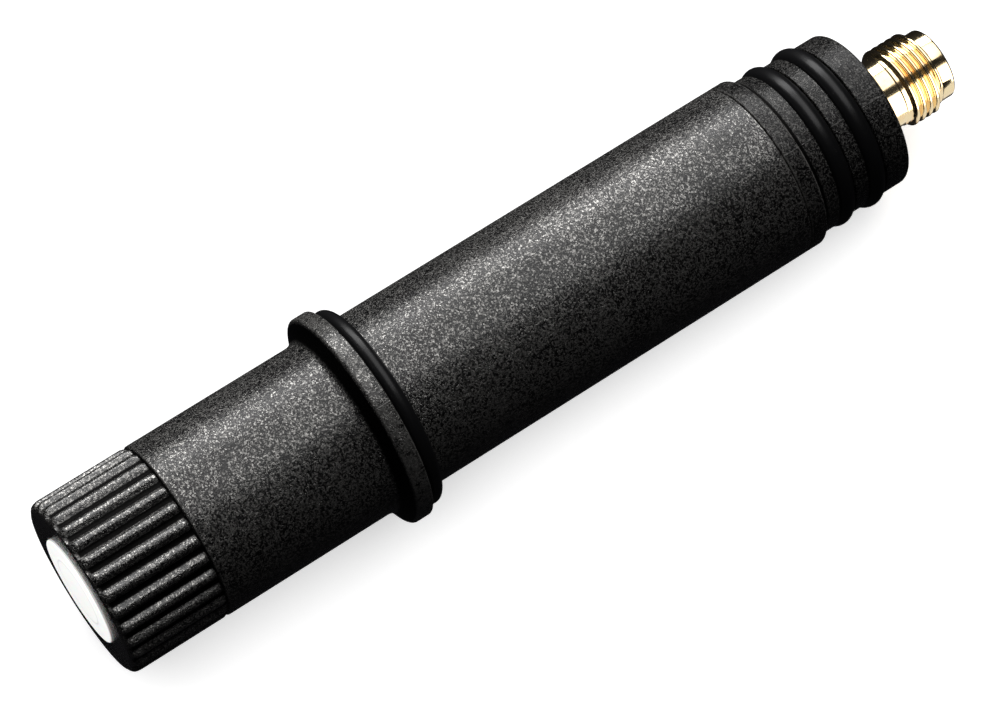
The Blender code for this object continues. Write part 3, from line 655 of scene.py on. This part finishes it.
jack = turned("jack_shell_turning", [
    (JACK_START, JACK_FLANGE_R, 0.2),
    (JACK_FLANGE_BACK, JACK_FLANGE_R, 0.2),
    (JACK_FLANGE_BACK, JACK_R, 0.1),
    (JACK_THREAD / MM - 0.5, JACK_R, 0, 0.035),
    (JACK_THREAD / MM + 3.8, JACK_R),
    (JACK_TIP, JACK_R, 0.18),
    (JACK_TIP, SOCKET_R, 0.08),
    (SOCKET_BOTTOM, SOCKET_R, 0.1),
    (SOCKET_BOTTOM, JACK_BORE_R, 0.05),
    (JACK_START, JACK_BORE_R, 0.1),
], gold_plate, columns=144, relief=jack_relief)
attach(jack, "housing")
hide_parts("jack_shell")

# ---- Jack insides. A white fluoropolymer insulator carries the gold centre contact; a spring washer and
# a retaining ring hold the shell's flange against the plug's wall, and a tag takes the ground lead.
refinish("jack_insulator", moulded("turned_fluoropolymer", (0.86, 0.86, 0.84), (0.78, 0.78, 0.75), 0.36))
refinish("centre_contact", gold_plate)
refinish("ground_tag", gold_plate)
spring_steel = metal("rolled_spring_steel", (0.56, 0.56, 0.57), (0.42, 0.41, 0.40), 0.26,
                     (1, 0.1, 1), 0.000008)
refinish("spring_washer", spring_steel)
refinish("retaining_ring", spring_steel)
refinish("signal_lead", sleeve("white_sleeve", (0.76, 0.75, 0.71), (0.60, 0.59, 0.55)))
refinish("ground_lead", sleeve("ground_sleeve", (0.030, 0.030, 0.032), (0.016, 0.016, 0.017)))

# ---- Cap seal. An O-ring in the cap's mouth, pressed on the barrel's shoulder; it travels with the cap
# but slips instead of turning with it.
o_ring("cap_o_ring", seal_rubber, "cap_seal", 120)

# ---- Membrane cap. Black moulding with thirty rounded ribs for the fingers, a rounded nose round its
# window and a thread inside; it unscrews from the neck to fill it with electrolyte.
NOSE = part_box("membrane_cap")[0].x / MM
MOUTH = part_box("membrane_cap")[1].x / MM
WINDOW_R = 5.25
RIB_COUNT = 30
RIB_HEIGHT = 0.46 * MM
RIB_TURN = math.radians(2.0)
NOSE_ROUND = 0.8
LIP_THICK = 1.3              # the window's lip, behind which the film is clamped
MOUTH_R = 7.35               # the recess for the seal ring
MOUTH_BOTTOM = -20.9
CAP_BORE_R = 5.85 * MM
CAP_THREAD_TURNS = 5.2
CAP_GROOVE_DEPTH = 0.46 * MM


def cap_relief(x, r, a):
    """Grooves between the ribs outside, and the thread's groove inside.

    A rib has a narrow rounded crest, two smooth flanks and a flat valley: with u from 0 on the
    crest to 1 in the valley's middle and v = (u - 0.12) / 0.76 kept from 0 to 1, the height is
    1 - v v (3 - 2 v). Along it the ribs round down on the nose and just before the mouth.
    """
    u = np.abs((RIB_COUNT * (a + RIB_TURN) / math.tau + 0.5) % 1.0 - 0.5) * 2
    v = np.clip((u - 0.12) / 0.76, 0, 1)
    rib = 1 - v * v * (3 - 2 * v)
    mouth = np.clip((MOUTH * MM - x) / (0.35 * MM), 0, 1)
    rib = rib * np.sqrt(1 - (1 - mouth) ** 2)
    valley_r = BODY_R - RIB_HEIGHT
    ribbed = np.where(r > valley_r, valley_r + (r - valley_r) * rib, r)
    inside = np.abs(r - CAP_BORE_R) < ON_SURFACE
    start = NECK_THREAD_START - CAP_PITCH
    groove = ridge(x, a, start, CAP_PITCH, CAP_THREAD_TURNS, 1.16 * MM, 0.67 * MM, fade=0.2)
    return ribbed + inside * groove * CAP_GROOVE_DEPTH


cap_plastic = black_plastic(
    "ribbed_cap_plastic", 4600, 0.00004, 0.9, 1.5,
    # Painted shade: the grooves between the ribs, the nose's rounding, the mouth and the inside are made
    # near-black and dull.
    painted_shade=((NOSE + 0.1) * MM, 0.0, BODY_R - 0.92 * RIB_HEIGHT, BODY_R - 0.65 * RIB_HEIGHT))
cap = turned("membrane_cap_moulding", [
    (NOSE, WINDOW_R, 0.08),
    (NOSE, body_r, NOSE_ROUND, 0.5),
    (MOUTH, body_r, 0.1),
    (MOUTH, MOUTH_R, 0.1),
    (MOUTH_BOTTOM, MOUTH_R, 0.1),
    (MOUTH_BOTTOM, CAP_BORE_R / MM, 0, 0.1),
    (NOSE + LIP_THICK, CAP_BORE_R / MM),
    (NOSE + LIP_THICK, WINDOW_R, 0.05),
], cap_plastic, columns=RIB_COUNT * 16, relief=cap_relief)
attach(cap, "cap")
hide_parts("membrane_cap")

# ---- Membrane and its clamp ring. A white fluoropolymer film drawn over the electrode's tip, which presses
# a faint ring in it, given as a bump with painted shade along it; its brim is clamped behind the window's
# lip.
FILM_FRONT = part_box("membrane")[0].x / MM
FILM_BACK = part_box("membrane")[1].x / MM
FILM_THICK = 0.4
FILM_R = WINDOW_R - gap
BRIM_FRONT = NOSE + LIP_THICK + gap
BRIM_R = 5.75
FILM_INNER_R = 4.8
PRINT_R = 3.17 * MM          # the ring that the tip's edge prints in the film


def white_film(name):
    """Stretched white film: very fine pores, soft creases, slight translucence and painted shade along the
    ring that the tip's edge presses in.
    """
    made = Finish(name, Subsurface_Weight=0.15, Subsurface_Scale=0.0004, Specular_IOR_Level=0.4)
    radius = made.cylinder()[1]
    pores = made.noise(7000, 2, 0.5)
    cloud = made.noise(600, 4, 0.6)
    print_crease_and_shade = radius.near(PRINT_R, 0.16 * MM)
    tint = made.blend(cloud, (0.90, 0.90, 0.89), (0.84, 0.84, 0.82))
    # Painted shade: the tint darkens along the ring that the tip's edge presses in, over its real bump.
    tint = made.blend(print_crease_and_shade * 0.6, tint, (0.55, 0.55, 0.56))
    return made.feed(Base_Color=tint, Roughness=0.42 + pores * 0.15,
                     Normal=made.bump(pores + cloud * 0.6 - print_crease_and_shade * 1.5, 0.00001))


film = turned("membrane_film", [
    (FILM_FRONT, 0.0),
    (FILM_FRONT, TIP_R, 0.35),
    (FILM_FRONT + 0.05, TIP_R + 0.3, 0.4),
    (FILM_FRONT + 0.03, FILM_R, 0.15),
    (BRIM_FRONT, FILM_R, 0.05),
    (BRIM_FRONT, BRIM_R, 0.1),
    (FILM_BACK, BRIM_R, 0.1),
    (FILM_BACK, FILM_INNER_R, 0.1),
    (FILM_FRONT + FILM_THICK, FILM_INNER_R, 0.2),
    (FILM_FRONT + FILM_THICK, 0.0),
], white_film("stretched_white_film"), columns=144)
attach(film, "cap")
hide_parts("membrane")
refinish("membrane_ring", moulded("natural_acetal", (0.62, 0.62, 0.58), (0.52, 0.52, 0.48), 0.35))

# ---- Studio. The probe rests on its flange and its last O-ring on a pale floor, under long soft lights:
# a key light over its far side, a weaker one overhead and one from beyond the jack for the bright edge.
# Cards for the jack, a light for the film and one for the floor each fall on those alone.
FLOOR_SPAN = 3.0             # from the flange to each edge of the floor
floor_mesh = bpy.data.meshes.new("studio_floor")
touch_front = Vector(((RIM_X / 2) * MM, 0, -FLANGE_R))
touch_rear = Vector((GLANDS[1] * MM, 0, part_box("rear_o_ring_back")[0].z))
along = (touch_rear - touch_front).normalized()
corners = [touch_front + along * (FLOOR_SPAN * u) + Vector((0, FLOOR_SPAN * v, 0))
           for u, v in ((-1, -1), (1, -1), (1, 1), (-1, 1))]
floor_mesh.from_pydata(corners, [], [(0, 1, 2, 3)])
floor_object = bpy.data.objects.new("studio_floor", floor_mesh)
bpy.context.scene.collection.objects.link(floor_object)
floor_finish = Finish("pale_paper", Specular_IOR_Level=0.2,
                      Emission_Color=(1, 1, 1, 1), Emission_Strength=0.45)
fibres = floor_finish.noise(1200, 3, 0.5)
floor_finish.feed(Base_Color=floor_finish.blend(fibres, (0.93, 0.93, 0.93), (0.96, 0.96, 0.96)),
                  Roughness=0.8 + fibres * 0.1)
floor_mesh.materials.append(floor_finish.material)
floor_object.visible_glossy = False
floor_object.visible_diffuse = False
floor_object.visible_shadow = False


def soft_box(name, length, width, radiance, placement, pieces):
    """A rectangular light, length along its own X and width along its Y, that shines on these pieces alone.

    Its power is the radiance of its face times pi times its area.
    """
    data = bpy.data.lights.new(name, "AREA")
    data.shape = "RECTANGLE"
    data.size = length
    data.size_y = width
    data.energy = radiance * math.pi * length * width
    light = bpy.data.objects.new(name, data)
    bpy.context.scene.collection.objects.link(light)
    light.matrix_world = placement
    light.light_linking.receiver_collection = bpy.data.collections.new(name + "_receivers")
    for piece in pieces:
        light.light_linking.receiver_collection.objects.link(piece)


def panel(name, bearings, distance, station, length, radiance, pieces):
    """A soft box parallel to the probe that spans two bearings about its axis.

    Bearings are in degrees from straight above towards +Y, lengths in millimetres.
    """
    half = math.radians(bearings[1] - bearings[0]) / 2
    turn = Matrix.Rotation(-math.radians(sum(bearings) / 2), 4, "X")
    placement = Matrix.Translation((station * MM, 0, 0)) @ turn @ Matrix.Translation((0, 0, distance * MM))
    soft_box(name, length * MM, 2 * distance * MM * math.tan(half), radiance, placement, pieces)


whole = [piece for piece in bpy.data.objects if piece.type == "MESH" and piece is not floor_object]
black_body = [barrel, plug, cap]
connector = [jack, *(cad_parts[node] for node in ("jack_insulator", "centre_contact"))]
for name, bearings, distance, station, length, radiance, pieces in (
    ("key_light", (40, 69), 500, 110, 520, 5.5, whole),
    ("top_light", (-16, 36), 500, 110, 520, 2.05, whole),
    ("edge_light", (15, 75), 500, 600, 360, 6.0, black_body),
    ("jack_card", (-116, -44), 300, 80, 400, 3.2, connector),
    ("jack_bounce", (-172, -118), 300, 80, 400, 0.8, connector),
    ("floor_light", (-50, 50), 1200, 12, 2800, 1.7, [floor_object]),
):
    panel(name, bearings, distance, station, length, radiance, pieces)

NOSE_LIGHT_TILT = math.radians(-70)     # from straight above, forward over the nose
NOSE_LIGHT_REACH = 0.3
NOSE_LIGHT_LENGTH = 0.22
NOSE_LIGHT_WIDTH = 0.2184
nose_placement = (Matrix.Rotation(NOSE_LIGHT_TILT, 4, "Y")
                  @ Matrix.Translation((0, 0, NOSE_LIGHT_REACH)))
soft_box("nose_light", NOSE_LIGHT_LENGTH, NOSE_LIGHT_WIDTH, 7.8, nose_placement, [film])

# The backdrop: white where the camera sees it, and nearly black to the probe, which the lights alone shape.
world = bpy.data.worlds.new("studio_world")
world.use_nodes = True
nodes, links = world.node_tree.nodes, world.node_tree.links
ray = nodes.new("ShaderNodeLightPath")
shade = nodes.new("ShaderNodeMix")
shade.data_type = "RGBA"
shade.inputs[Finish.MIX_FIRST].default_value = (0.010, 0.010, 0.011, 1.0)
shade.inputs[Finish.MIX_SECOND].default_value = (0.98, 0.98, 0.98, 1.0)
links.new(ray.outputs["Is Camera Ray"], shade.inputs["Factor"])
links.new(shade.outputs[Finish.MIX_RESULT], nodes["Background"].inputs["Color"])
bpy.context.scene.world = world
bpy.context.scene.view_settings.view_transform = "Standard"
